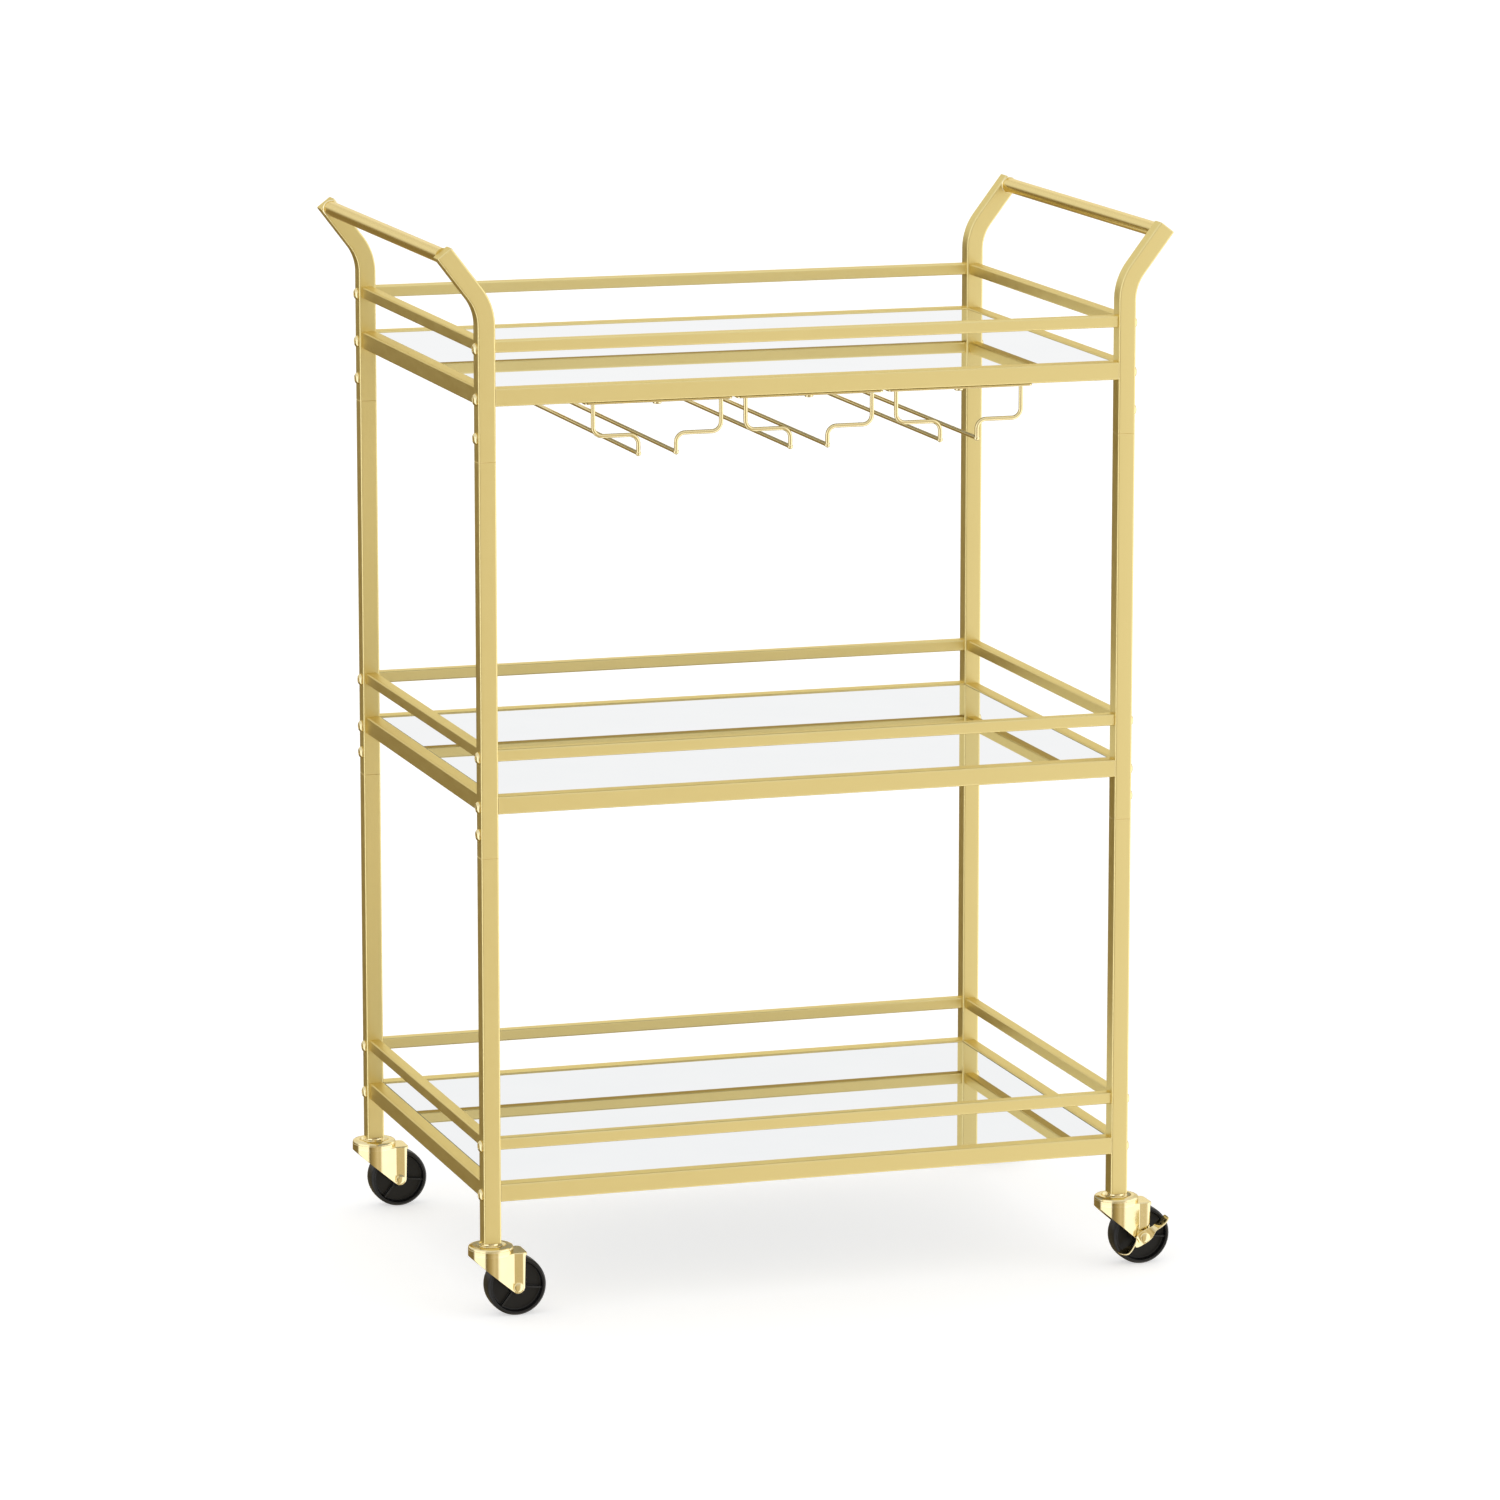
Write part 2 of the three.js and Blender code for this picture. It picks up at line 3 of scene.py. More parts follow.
import bmesh
import bpy
from mathutils import Matrix, Vector, noise


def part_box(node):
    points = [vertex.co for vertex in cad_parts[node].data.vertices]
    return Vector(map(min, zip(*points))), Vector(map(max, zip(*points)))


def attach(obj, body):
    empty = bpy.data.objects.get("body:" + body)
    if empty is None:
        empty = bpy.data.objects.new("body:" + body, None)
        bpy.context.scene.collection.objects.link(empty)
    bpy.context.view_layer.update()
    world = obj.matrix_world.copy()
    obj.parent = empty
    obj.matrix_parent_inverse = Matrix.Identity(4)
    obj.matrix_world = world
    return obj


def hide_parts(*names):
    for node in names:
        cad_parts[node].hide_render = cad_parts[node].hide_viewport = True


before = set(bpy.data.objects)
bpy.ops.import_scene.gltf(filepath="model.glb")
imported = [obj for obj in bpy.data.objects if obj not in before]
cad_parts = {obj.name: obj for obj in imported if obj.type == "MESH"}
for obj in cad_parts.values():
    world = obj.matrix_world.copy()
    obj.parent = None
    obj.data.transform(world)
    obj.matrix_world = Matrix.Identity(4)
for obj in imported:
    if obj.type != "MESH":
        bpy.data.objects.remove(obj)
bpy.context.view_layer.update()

# Shapes are drawn in millimetres and become metres when a mesh is made.
MM = 0.001
ON_AXIS = 1e-4              # radius that stands for a point on the axis of a turned shape
MERGE_DISTANCE = 1e-7       # in metres

TIERS = ("bottom", "middle", "top")
ENDS = {"front": -1, "back": 1}
SIDES = {"left": -1, "right": 1}

# ---------------------------------------------------------------- sizes the frame doesn't give
WALL = 1.0                  # wall of the tubes
TUBE_CORNER = 1.5           # radius of a square tube's long edges
TUBE_LIP = 0.25             # broken edge at a cut tube end
JOINT_CHAMFER = 0.3         # broken edge where two post sections meet
SHOULDER_INSET = 2.6        # how far the shoulder of a section closes in at its head
NECK_ROOT = 1.5             # how far the swaged neck starts below that shoulder
NECK_INSET = 1.3            # outer face of the neck, in from the post's
NECK_TIP_INSET = 1.7        # the same at the neck's tapered tip
NECK_BORE_INSET = 2.3
NECK_TAPER = 1.0            # height of the tapered tip
UPPER_BORE_DEPTH = 25.0     # how far up the upper section is drawn hollow
ARM_BEND_Z = 832.2
ARM_BEND_RADIUS = 44.0
ARM_LEAN = math.radians(37.3)
ARM_LENGTH = 42.8
HANDLE_RADIUS = 6.35
LEDGE_WIDTH = 8.0
LEDGE_THICKNESS = 1.5
LEDGE_OVERLAP = 0.2         # how far the ledge runs into its rail
LEDGE_CORNER = 0.4
LEDGE_SHORTER = 2.0         # the ledge's length is this much less than its rail's
MIRROR_GAP = 0.3            # between a ledge and the mirror above it
MIRROR_CORNER = 2.0
SHEET_BEVEL = 0.3           # broken edge of the mirrors and of the racks' plates
RACK_OUTER_X = 55.0
RACK_INNER_X = 16.2
RACK_STEP_DROP = 28.9
RACK_WIRE_DROP = 44.6
RACK_WIRE_RADIUS = 1.8
RACK_BEND_RADIUS = 7.8
RACK_PLATE_WIDTH = 13.0
RACK_PLATE_THICKNESS = 1.5
RACK_PLATE_CORNER = 3.0
TRAIL = 20.5                # axle behind the swivel axis
AXLE_Z = 25.4
FORK_RADIUS = 19.0
FORK_HALF_WIDTH = 12.5
FORK_SHEET = 2.0
FORK_TOP_Z = 54.9           # top of the plate over the wheel
HEAD_SEAM_Z = 57.9          # where the raised ring of the head stands on its wall
HEAD_CREST_Z = 61.0
FORK_RIM_Z = 51.7           # lower edge of the rim at the head
FORK_CREASE_X = 16.8        # where the round head meets the flat legs
FORK_END_X = 28.9
FORK_PLATE_INSET = 3.4      # how far the plate is drawn in from the outline
FORK_ROLL = (0.05, 1.2)     # radius of the plate's edge, under the head and clear of it
FORK_ROLL_START = 9.0       # where along X the edge starts to grow rounder
FORK_ROLL_RUN = 6.0
FORK_LIP = 0.35             # rounding of the sheet's lower edge
LEG_RADIUS = 5.7
AXLE_RADIUS = 3.0
WEB_HALF = 4.5              # half the thickness of the wheel's web
WEB_RADIUS = 21.3
STEM_FLANGE_Z = 58.7        # underside of the round flange on the fork's head
LEVER_TILT = math.radians(30.7)
LEVER_SHEET = 1.5
BOLT_RADIUS = 5.0
BOLT_HEIGHT = 2.7


# ================================================================ mesh helpers
def box_mm(node):
    low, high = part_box(node)
    return low / MM, high / MM


def unit(v):
    return v.normalized()


def rounded(points, radii, steps=4):
    """A closed outline whose corners are arcs. radii is one number, or one for each corner."""
    outline = []
    count = len(points)
    for i, corner in enumerate(points):
        radius = radii if isinstance(radii, (int, float)) else radii[i]
        p = Vector(corner)
        if radius <= 0:
            outline.append(p)
            continue
        to_last = unit(Vector(points[i - 1]) - p)
        to_next = unit(Vector(points[(i + 1) % count]) - p)
        half = to_last.angle(to_next) / 2
        centre = p + unit(to_last + to_next) * (radius / math.sin(half))
        start = p + to_last * (radius / math.tan(half)) - centre
        end = p + to_next * (radius / math.tan(half)) - centre
        sweep = start.angle(end)
        for k in range(steps + 1):
            t = k / steps
            arm = start * math.sin((1 - t) * sweep) + end * math.sin(t * sweep)
            outline.append(centre + arm / math.sin(sweep))
    return outline


def rectangle(width, height):
    w, h = width / 2, height / 2
    return [(-w, -h), (w, -h), (w, h), (-w, h)]


def square_ring(width, height, inset, z, corner=TUBE_CORNER, steps=5):
    """One ring of points round a square tube's section, drawn in from its surface by inset."""
    outline = rounded(rectangle(width - 2 * inset, height - 2 * inset), max(corner - inset, 0.3), steps)
    return [Vector((p.x, p.y, z)) for p in outline]


def bevelled(thickness):
    """(inset, height) of the rings of a sheet whose top is at zero and whose edges are broken."""
    return [(SHEET_BEVEL, 0), (0, -SHEET_BEVEL), (0, SHEET_BEVEL - thickness), (SHEET_BEVEL, -thickness)]


def round_ring(radius, z, count):
    return [
        Vector((radius * math.cos(2 * math.pi * k / count), radius * math.sin(2 * math.pi * k / count), z))
        for k in range(count)
    ]


class Solid:
    """Vertices and faces of one piece, in millimetres, gathered before its mesh is made."""

    def __init__(self):
        self.points = []
        self.faces = []
        self.slots = []

    def add(self, points, faces, slot=0):
        first = len(self.points)
        self.points += [Vector(p) for p in points]
        self.faces += [[first + i for i in face] for face in faces]
        self.slots += [slot] * len(faces)
        return self

    def loft(self, rings, wrap=False, slot=0):
        """Joins rings of equal count. A wrapped loft joins last to first, and any other closes its ends."""
        n = len(rings[0])
        faces = []
        spans = len(rings) if wrap else len(rings) - 1
        for i in range(spans):
            a, b = i * n, ((i + 1) % len(rings)) * n
            faces += [[a + k, a + (k + 1) % n, b + (k + 1) % n, b + k] for k in range(n)]
        if not wrap:
            faces.append(list(range(n))[::-1])
            faces.append([(len(rings) - 1) * n + k for k in range(n)])
        return self.add([p for ring in rings for p in ring], faces, slot)

    def lathe(self, profile, count, axis="Z", at=(0, 0, 0), slot=0):
        """Turns a closed profile of (radius, height) about an axis through the point at."""
        rings = []
        for r, h in profile:
            ring = round_ring(max(r, ON_AXIS), h, count)
            if axis == "Y":
                ring = [Vector((p.x, p.z, -p.y)) for p in ring]
            if axis == "X":
                ring = [Vector((p.z, p.x, p.y)) for p in ring]
            rings.append([p + Vector(at) for p in ring])
        on_axis = profile[0][0] <= 0 and profile[-1][0] <= 0
        return self.loft(rings, wrap=not on_axis, slot=slot)

    def mesh(self, name, materials, sharp_angle=38):
        mesh = bpy.data.meshes.new(name)
        mesh.from_pydata([p * MM for p in self.points], [], self.faces)
        for material in materials:
            mesh.materials.append(material)
        mesh.polygons.foreach_set("material_index", self.slots)
        bm = bmesh.new()
        bm.from_mesh(mesh)
        bmesh.ops.remove_doubles(bm, verts=bm.verts, dist=MERGE_DISTANCE)
        bmesh.ops.recalc_face_normals(bm, faces=bm.faces)
        bm.to_mesh(mesh)
        bm.free()
        mesh.polygons.foreach_set("use_smooth", [True] * len(mesh.polygons))
        mesh.set_sharp_from_angle(angle=math.radians(sharp_angle))
        return mesh


def piece(name, mesh, body, at=(0, 0, 0), turn=None, replaces=()):
    """Puts a mesh in the row frame as one named piece that rides on a body. at is in millimetres."""
    obj = bpy.data.objects.new(name, mesh)
    bpy.context.scene.collection.objects.link(obj)
    rotation = (turn or Matrix.Identity(3)).to_4x4()
    obj.matrix_world = Matrix.Translation(Vector(at) * MM) @ rotation
    weighted = obj.modifiers.new("even_shading", "WEIGHTED_NORMAL")
    weighted.keep_sharp = True
    weighted.weight = 80
    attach(obj, body)
    if replaces:
        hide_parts(*replaces)
    return obj


# Turns that lay a shape drawn along Z along the frame's axes.
ALONG_X = Matrix(((0, 0, 1), (1, 0, 0), (0, 1, 0)))
ALONG_MINUS_X = Matrix(((0, 0, -1), (-1, 0, 0), (0, 1, 0)))
ALONG_Y = Matrix(((1, 0, 0), (0, 0, 1), (0, -1, 0)))
DOWN = Matrix(((1, 0, 0), (0, -1, 0), (0, 0, -1)))


def rounded_run(corners, radius, steps):
    """Stations (point, heading) along corner points in the XZ plane, with rounded corners."""
    points = [Vector(c) for c in corners]
    stations = [(points[0], unit(points[1] - points[0]))]
    for i in range(1, len(points) - 1):
        into, out = unit(points[i] - points[i - 1]), unit(points[i + 1] - points[i])
        turn = into.angle(out)
        side = unit(out - into * into.dot(out))
        start = points[i] - into * radius * math.tan(turn / 2)
        for k in range(steps + 1):
            a = turn * k / steps
            at = start + into * radius * math.sin(a) + side * radius * (1 - math.cos(a))
            stations.append((at, into * math.cos(a) + side * math.sin(a)))
    stations.append((points[-1], unit(points[-1] - points[-2])))
    return stations


def section_at(station, section, slide=0.0):
    """The section's points across a station, slid along its heading."""
    at, along = station
    at = at + along * slide
    return [Vector((at.x + p.x * along.y, p.y, at.y - p.x * along.x)) for p in section]


# ================================================================ materials
class Nodes:
    """Short names for building one material's node tree."""

    def __init__(self, name):
        self.material = bpy.data.materials.new(name)
        self.material.use_nodes = True
        self.tree = self.material.node_tree
        self.shader = self.tree.nodes["Principled BSDF"]
        self.place = self.node("ShaderNodeTexCoord").outputs["Object"]

    def node(self, kind, **settings):
        made = self.tree.nodes.new(kind)
        for key, value in settings.items():
            if key in made.inputs:
                made.inputs[key].default_value = value
            else:
                setattr(made, key, value)
        return made

    def link(self, out, into):
        self.tree.links.new(out, into)

    def noise(self, scale, detail=2.0, stretch=(1, 1, 1)):
        mapping = self.node("ShaderNodeMapping")
        mapping.inputs["Scale"].default_value = stretch
        self.link(self.place, mapping.inputs["Vector"])
        made = self.node("ShaderNodeTexNoise", Scale=scale, Detail=detail)
        self.link(mapping.outputs["Vector"], made.inputs["Vector"])
        return made.outputs["Fac"]

    def spread(self, value, low, high, start=0.0, end=1.0):
        """Maps start..end of a value onto low..high."""
        made = self.node("ShaderNodeMapRange")
        for key, number in (("From Min", start), ("From Max", end), ("To Min", low), ("To Max", high)):
            made.inputs[key].default_value = number
        self.link(value, made.inputs["Value"])
        return made.outputs["Result"]

    def blend(self, factor, first, second):
        made = self.node("ShaderNodeMix", data_type="RGBA")
        for socket, value in ((made.inputs[6], first), (made.inputs[7], second)):
            if isinstance(value, tuple):
                socket.default_value = (*value, 1)
            else:
                self.link(value, socket)
        self.link(factor, made.inputs[0])
        return made.outputs[2]

    def bump(self, height, distance, strength=1.0):
        made = self.node("ShaderNodeBump", Strength=strength, Distance=distance)
        self.link(height, made.inputs["Height"])
        return made.outputs["Normal"]

    def edges(self, radius):
        """Near 1 on the rounded edges of the piece and 0 on its flats."""
        bevel = self.node("ShaderNodeBevel", samples=6, Radius=radius)
        plain = self.node("ShaderNodeNewGeometry")
        dot = self.node("ShaderNodeVectorMath", operation="DOT_PRODUCT")
        self.link(bevel.outputs["Normal"], dot.inputs[0])
        self.link(plain.outputs["Normal"], dot.inputs[1])
        return self.spread(dot.outputs["Value"], 1, 0, 0.93, 0.999)

    def set(self, **values):
        for key, value in values.items():
            self.shader.inputs[key.replace("_", " ")].default_value = value


def satin_gold():
    """Matt gold coat on the tubes: a fine orange peel, slow tone changes, and a painted highlight that
    lightens the rounded edges.
    """
    m = Nodes("satin_gold")
    m.set(Metallic=1.0, Specular_Tint=(0.9, 0.78, 0.5, 1))
    tone = m.blend(m.noise(9, 3), (0.835, 0.71, 0.33), (0.865, 0.74, 0.355))
    # Painted highlight: the rounded edges are lightened towards pale gold, broken up by noise.
    painted_edge_highlight = m.node("ShaderNodeMath", operation="MULTIPLY")
    m.link(m.edges(0.0016), painted_edge_highlight.inputs[0])
    m.link(m.spread(m.noise(60, 3), 0.35, 0.9, 0.35, 0.7), painted_edge_highlight.inputs[1])
    m.link(m.blend(painted_edge_highlight.outputs[0], tone, (0.95, 0.83, 0.5)), m.shader.inputs["Base Color"])
    m.link(m.spread(m.noise(140, 4), 0.36, 0.44, 0.3, 0.7), m.shader.inputs["Roughness"])
    m.link(m.bump(m.noise(1500, 2), 0.000012), m.shader.inputs["Normal"])
    return m.material


PALE_GOLD = (0.83, 0.715, 0.40), (0.90, 0.785, 0.48)
DEEP_GOLD = (0.85, 0.705, 0.33), (0.89, 0.75, 0.37)


def polished_gold(name, tones, roughness):
    """Bright plated steel: fine clouding in colour and gloss, and a thin painted highlight along the edges.
    """
    m = Nodes(name)
    m.set(Metallic=1.0, Specular_Tint=(1.0, 0.9, 0.66, 1))
    tone = m.blend(m.noise(70, 4), *tones)
    # Painted highlight: the rounded edges are lightened towards pale gold.
    m.link(m.blend(m.edges(0.0006), tone, (0.97, 0.88, 0.64)), m.shader.inputs["Base Color"])
    m.link(m.spread(m.noise(400, 5), *roughness, 0.3, 0.7), m.shader.inputs["Roughness"])
    m.link(m.bump(m.noise(900, 3), 0.000008), m.shader.inputs["Normal"])
    return m.material


def mirror_face():
    """Silvered glass seen from above, with the faintest haze of handling."""
    m = Nodes("mirror_face")
    m.set(Metallic=1.0)
    m.link(m.blend(m.noise(14, 5), (0.86, 0.875, 0.885), (0.90, 0.91, 0.915)), m.shader.inputs["Base Color"])
    m.link(m.spread(m.noise(22, 6), 0.004, 0.02, 0.45, 0.8), m.shader.inputs["Roughness"])
    return m.material


def glass_edge():
    """Ground edge of the mirror glass: dark green and softly frosted."""
    m = Nodes("glass_edge")
    m.set(Metallic=0.0)
    m.link(m.blend(m.noise(120, 3), (0.03, 0.06, 0.05), (0.09, 0.14, 0.12)), m.shader.inputs["Base Color"])
    m.link(m.spread(m.noise(700, 4), 0.18, 0.4), m.shader.inputs["Roughness"])
    m.link(m.bump(m.noise(1800, 2), 0.00001), m.shader.inputs["Normal"])
    return m.material


def mirror_back():
    """Grey protective paint on the back of the mirror."""
    m = Nodes("mirror_back")
    m.link(m.blend(m.noise(40, 4), (0.34, 0.35, 0.36), (0.42, 0.43, 0.44)), m.shader.inputs["Base Color"])
    m.link(m.spread(m.noise(300, 3), 0.5, 0.65), m.shader.inputs["Roughness"])
    m.link(m.bump(m.noise(900, 3), 0.00002), m.shader.inputs["Normal"])
    return m.material


def black_plastic():
    """Moulded black plastic of the wheels, slightly dusty on the tread, with a painted highlight on its
    rounded edges.
    """
    m = Nodes("black_plastic")
    tone = m.blend(m.noise(90, 5), (0.004, 0.004, 0.0042), (0.009, 0.009, 0.0093))
    # Painted highlight: the rounded edges are lightened to a dark grey.
    m.link(m.blend(m.edges(0.0007), tone, (0.05, 0.05, 0.052)), m.shader.inputs["Base Color"])
    m.set(Specular_IOR_Level=0.3)
    m.link(m.spread(m.noise(260, 5), 0.28, 0.46, 0.3, 0.7), m.shader.inputs["Roughness"])
    m.link(m.bump(m.noise(1300, 3), 0.00002), m.shader.inputs["Normal"])
    return m.material


def floor_panel():
    """White diffusing panel, lit a little from within so that shadows on it stay pale."""
    m = Nodes("floor_panel")
    m.link(m.blend(m.noise(3, 3), (0.6, 0.6, 0.6), (0.62, 0.62, 0.62)), m.shader.inputs["Base Color"])
    m.set(Roughness=0.8, Emission_Color=(1, 1, 1, 1), Emission_Strength=0.55)
    return m.material


SATIN = satin_gold()
POLISHED = polished_gold("polished_gold", PALE_GOLD, (0.09, 0.17))
WIRE = polished_gold("polished_wire", PALE_GOLD, (0.10, 0.2))
GRIP = polished_gold("rubbed_grip", DEEP_GOLD, (0.2, 0.27))
MIRROR = [mirror_face(), glass_edge(), mirror_back()]
PLASTIC = black_plastic()


# ================================================================ posts
post_low, post_high = box_mm("post_lower_front_left")
POST_SIZE = post_high.x - post_low.x
# Rounding of the arm's closed tip: inset, and distance along the arm from its end.
ARM_TIP = [(0, -0.9), (0.12, -0.45), (0.45, -0.12), (0.9, 0)]


def post_section(low, high, chamfer_low, neck_top):
    """A straight post section, open at its foot, with a swaged neck above its shoulder."""
    outer = [(0, low + chamfer_low), (0, high - JOINT_CHAMFER), (JOINT_CHAMFER, high)]
    inner = [(SHOULDER_INSET, high), (WALL, high - NECK_ROOT), (WALL, low), (chamfer_low, low)]
    solid = Solid()
    solid.loft([square_ring(POST_SIZE, POST_SIZE, inset, z) for inset, z in outer + inner], wrap=True)
    neck = [(NECK_INSET, high - NECK_ROOT), (NECK_INSET, neck_top - NECK_TAPER), (NECK_TIP_INSET, neck_top)]
    neck += [(NECK_BORE_INSET, neck_top), (NECK_BORE_INSET, high - NECK_ROOT)]
    solid.loft([square_ring(POST_SIZE, POST_SIZE, inset, z) for inset, z in neck], wrap=True)
    return solid


def leaning_post(side, low):
    """The upper section: a straight stretch, the bend outwards and the closed arm tip."""
    reach = ARM_LENGTH + ARM_BEND_RADIUS * math.tan(ARM_LEAN / 2)
    corner_z = ARM_BEND_Z + ARM_BEND_RADIUS * math.tan(ARM_LEAN / 2)
    tip = (side * reach * math.sin(ARM_LEAN), corner_z + reach * math.cos(ARM_LEAN))
    run = rounded_run([(0, low), (0, corner_z), tip], ARM_BEND_RADIUS, 20)

    def ring(station, inset, slide=0.0):
        return section_at(station, square_ring(POST_SIZE, POST_SIZE, inset, 0), slide)

    rings = [ring(run[0], WALL, UPPER_BORE_DEPTH), ring(run[0], WALL), ring(run[0], JOINT_CHAMFER)]
    rings += [ring(run[0], 0, JOINT_CHAMFER)]
    rings += [ring(station, 0) for station in run[1:-1]]
    rings += [ring(run[-1], inset, slide) for inset, slide in ARM_TIP]
    return Solid().loft(rings)


for side_name, side in SIDES.items():
    for end_name in ENDS:
        corner = f"{end_name}_{side_name}"
        low, high = box_mm(f"post_lower_{corner}")
        axis = ((low.x + high.x) / 2, (low.y + high.y) / 2, 0)
        joints = [box_mm(f"post_middle_{corner}")[0].z, box_mm(f"post_upper_{corner}")[0].z]
        spans = {"lower": (low.z, joints[0], TUBE_LIP), "middle": (joints[0], joints[1], JOINT_CHAMFER)}
        for level, (foot, head, chamfer) in spans.items():
            node = f"post_{level}_{corner}"
            mesh = post_section(foot, head, chamfer, box_mm(node)[1].z).mesh(node, [SATIN])
            piece(f"{node}_tube", mesh, "frame", axis, replaces=[node])
        node = f"post_upper_{corner}"
        mesh = leaning_post(side, joints[1]).mesh(node, [SATIN])
        piece(f"{node}_tube", mesh, "frame", axis, replaces=[node])


# ================================================================ rails
BUTT = 0.4                  # each rail end runs just into its post, past the frame's clearance


def rail_tube(width, height, length):
    """A square tube along Z, centred, cut square at its ends. width runs across and height runs up."""
    half = length / 2 + BUTT
    path = [(0, -half), (0, half), (WALL, half), (WALL, -half)]
    return Solid().loft([square_ring(width, height, inset, z) for inset, z in path], wrap=True)


def add_ledge(solid, width, inward, low, high, length):
    """The strip that carries the mirror, standing in from the rail's inner face."""
    centre = inward * (width / 2 + LEDGE_WIDTH / 2 - LEDGE_OVERLAP)
    outline = rounded(rectangle(LEDGE_WIDTH + 2 * LEDGE_OVERLAP, high - low), LEDGE_CORNER, 3)
    middle = (low + high) / 2
    rings = [
        [Vector((p.x + centre, p.y + middle, z)) for p in outline]
        for z in (-length / 2, length / 2)
    ]
    return solid.loft(rings)


for tier in TIERS:
    for kind in ("shelf", "guard"):
        for place_name, direction in (*ENDS.items(), *SIDES.items()):
            node = f"{kind}_rail_{tier}_{place_name}"
            low, high = box_mm(node)
            size, centre = high - low, (low + high) / 2
            if place_name in ENDS:
                ledge = LEDGE_WIDTH if kind == "shelf" else 0
                width = size.y - ledge
                centre.y += direction * ledge / 2
                solid = rail_tube(width, size.z, size.x)
                if ledge:
                    top = box_mm(f"mirror_shelf_{tier}")[0].z - MIRROR_GAP - centre.z
                    length = size.x - LEDGE_SHORTER
                    add_ledge(solid, width, -direction, top - LEDGE_THICKNESS, top, length)
                turn = ALONG_X
            else:
                solid = rail_tube(size.x, size.z, size.y)
                turn = ALONG_Y
            piece(f"{node}_tube", solid.mesh(node, [SATIN]), "frame", centre, turn, [node])


# ================================================================ handle bars
# Weld fillet at a bar's end: distance from the end, and how far it stands out from the bar.
BAR_FILLET = [(0, 0.9), (0.25, 0.5), (0.7, 0.18), (1.3, 0)]


def handle_bar(radius, length):
    """Round bar with a small weld fillet where each end meets its post."""
    half = length / 2 + BUTT
    profile = [(radius + extra, -half + z) for z, extra in BAR_FILLET]
    profile += [(radius + extra, half - z) for z, extra in reversed(BAR_FILLET)]
    profile += [(radius - WALL, half), (radius - WALL, -half)]
    return Solid().lathe(profile, 48)


for side_name in SIDES:
    node = f"handle_bar_{side_name}"
    low, high = box_mm(node)
    mesh = handle_bar(HANDLE_RADIUS, high.y - low.y).mesh(node, [GRIP])
    piece(f"{node}_tube", mesh, "frame", (low + high) / 2, ALONG_Y, [node])


# ================================================================ mirror shelves
def mirror_sheet(width, depth, thickness):
    """Glass sheet with ground, slightly bevelled edges: silvered face, dark edge and painted back."""
    solid = Solid()
    rings = [square_ring(width, depth, inset, z, MIRROR_CORNER, 4) for inset, z in bevelled(thickness)]
    solid.loft(rings, slot=1)
    solid.slots[-2:] = [0, 2]
    return solid


for tier in TIERS:
    node = f"mirror_shelf_{tier}"
    low, high = box_mm(node)
    centre = ((low.x + high.x) / 2, (low.y + high.y) / 2, high.z)
    mesh = mirror_sheet(high.x - low.x, high.y - low.y, high.z - low.z).mesh(node, MIRROR, 20)
    piece(f"{node}_glass", mesh, "frame", centre, replaces=[node])


# ================================================================ bolts and screws
def button_bolt():
    """Button-head bolt with a hexagon socket, drawn along Z with its seat at zero."""
    count = 48
    # Head from its seat to its crest, as (radius, height), then the socket as (across flats, height).
    dome = [(BOLT_RADIUS - 0.2, 0), (BOLT_RADIUS, 0.2), (BOLT_RADIUS, 0.7), (4.75, 1.25), (4.25, 1.85)]
    dome += [(3.6, 2.35), (3.0, 2.62), (2.75, BOLT_HEIGHT)]
    rings = [round_ring(0.01, -0.1, count)] + [round_ring(r, z, count) for r, z in dome]

    def hexagon(across_flats, z):
        ring = []
        for k in range(count):
            a = 2 * math.pi * k / count
            off_flat = (a + math.pi / 6) % (math.pi / 3) - math.pi / 6
            r = across_flats / 2 / math.cos(off_flat)
            ring.append(Vector((r * math.cos(a), r * math.sin(a), z)))
        return ring

    socket = [(4.6, BOLT_HEIGHT - 0.05), (4.2, BOLT_HEIGHT - 0.35), (4.1, 0.9)]
    rings += [hexagon(across_flats, z) for across_flats, z in socket]
    rings.append(round_ring(0.01, 0.6, count))
    return Solid().loft(rings)


def pan_screw():
    """Small pan-head screw with a washer face and a shallow round driver recess."""
    profile = [(0, -0.1), (4.3, 0), (4.4, 0.35), (3.7, 0.5), (3.6, 1.5), (3.1, 2.0), (2.2, 2.25)]
    profile += [(1.5, 2.25), (1.1, 1.3), (0, 1.1)]
    return Solid().lathe(profile, 36)


bolt_mesh = button_bolt().mesh("button_bolt", [POLISHED])
screw_mesh = pan_screw().mesh("pan_screw", [POLISHED])
BOLT_BELOW_CENTRE = 1.8     # rail bolts sit a little below the middle of their rail
SLEEVE_BOLT_RISE = 19.2     # bolt above each post joint, through the neck

for side_name, side in SIDES.items():
    for end_name in ENDS:
        corner = f"{end_name}_{side_name}"
        low, high = box_mm(f"post_lower_{corner}")
        face_x = high.x if side > 0 else low.x
        heights = {}
        for tier in TIERS:
            for kind in ("shelf", "guard"):
                rail_low, rail_high = box_mm(f"{kind}_rail_{tier}_{end_name}")
                heights[f"{kind}_{tier}"] = (rail_low.z + rail_high.z) / 2 - BOLT_BELOW_CENTRE
        for level in ("middle", "upper"):
            heights[f"joint_{level}"] = box_mm(f"post_{level}_{corner}")[0].z + SLEEVE_BOLT_RISE
        turn = ALONG_X if side > 0 else ALONG_MINUS_X
        for i, (use, z) in enumerate(heights.items()):
            at = (face_x, (low.y + high.y) / 2, z)
            spun = turn @ Matrix.Rotation(math.radians(13 * i + 20 * side), 3, "Z")
            piece(f"bolt_{use}_{corner}", bolt_mesh, "frame", at, spun)


